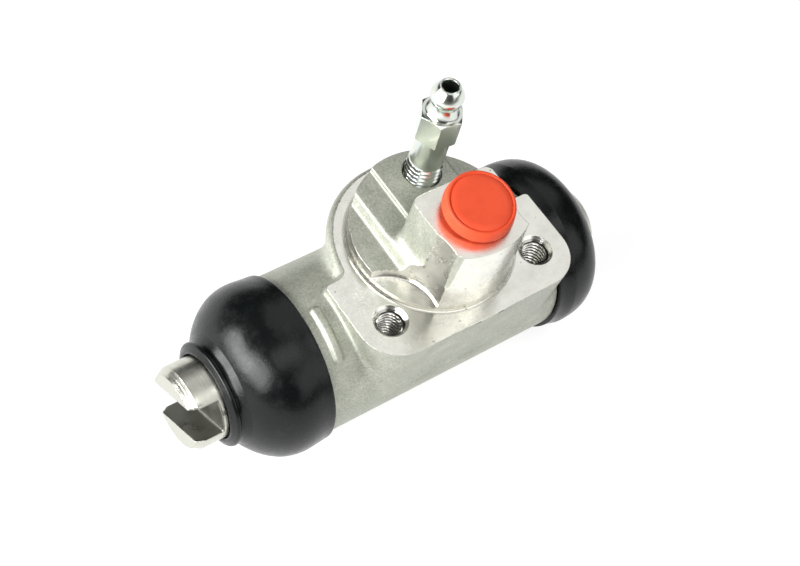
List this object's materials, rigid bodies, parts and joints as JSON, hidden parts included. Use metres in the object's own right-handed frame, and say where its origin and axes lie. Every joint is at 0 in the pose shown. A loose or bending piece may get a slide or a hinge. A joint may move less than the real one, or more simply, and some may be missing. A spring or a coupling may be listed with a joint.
{
  "type": "wheel cylinder",
  "caption": "Hydraulic drum-brake wheel cylinder: cast barrel with a round pilot flange, lug plate, opposed slotted pistons, dust boots, bleed screw and plugged inlet port.",
  "frame": {"origin": "where the axis of the round pilot meets the machined mounting face", "axes": "+Z is the mounting face's outward normal, along the bleed screw and the inlet boss; +X runs along the bore, away from the piston that stands out; -Y is the side of the two fixing holes"},
  "size_m": [0.1065, 0.0444, 0.076],
  "materials": {
    "cast_aluminium": "as-cast skin, machined bright on the faces, ports and seats",
    "turned_steel": "fine turned",
    "black_rubber": "moulded, slightly glossy",
    "zinc_plate": "bright zinc plated",
    "spring_steel": "drawn wire",
    "orange_plastic": "moulded"
  },
  "bodies": {
    "housing": {"cylinder_body": "cast_aluminium", "left_dust_boot": "black_rubber", "right_dust_boot": "black_rubber", "return_spring": "spring_steel"},
    "left_seal": {"left_piston_cup": "black_rubber", "left_cup_expander": "zinc_plate"},
    "left_piston": {"left_piston": "turned_steel"},
    "right_seal": {"right_piston_cup": "black_rubber", "right_cup_expander": "zinc_plate"},
    "right_piston": {"right_piston": "turned_steel"},
    "bleed_screw": {"bleed_screw": "zinc_plate"},
    "inlet_plug": {"inlet_plug": "orange_plastic"}
  },
  "joints": [
    {"name": "left_piston_slide", "type": "slide", "parent": "housing", "child": "left_seal", "axis": [-1, 0, 0], "range_m": [-0.0085, 0.005], "deforming": ["return_spring"]},
    {"name": "left_piston_turn", "type": "hinge", "parent": "left_seal", "child": "left_piston", "pos_m": [-0.045, -0.0015, -0.0201], "axis": [-1, 0, 0], "continuous": true},
    {"name": "right_piston_slide", "type": "slide", "parent": "housing", "child": "right_seal", "axis": [1, 0, 0], "range_m": [0, 0.0135], "deforming": ["return_spring"]},
    {"name": "right_piston_turn", "type": "hinge", "parent": "right_seal", "child": "right_piston", "pos_m": [0.03, -0.0015, -0.0201], "axis": [1, 0, 0], "continuous": true},
    {"name": "bleed_screw_turn", "type": "hinge", "parent": "housing", "child": "bleed_screw", "pos_m": [0.004, 0.0115, 0.01], "axis": [0, 0, 1], "range_deg": [0, 360]},
    {"name": "inlet_plug_pull", "type": "slide", "parent": "housing", "child": "inlet_plug", "axis": [-0.038, -0.1444, 0.9888], "range_m": [0, 0.012]}
  ]
}
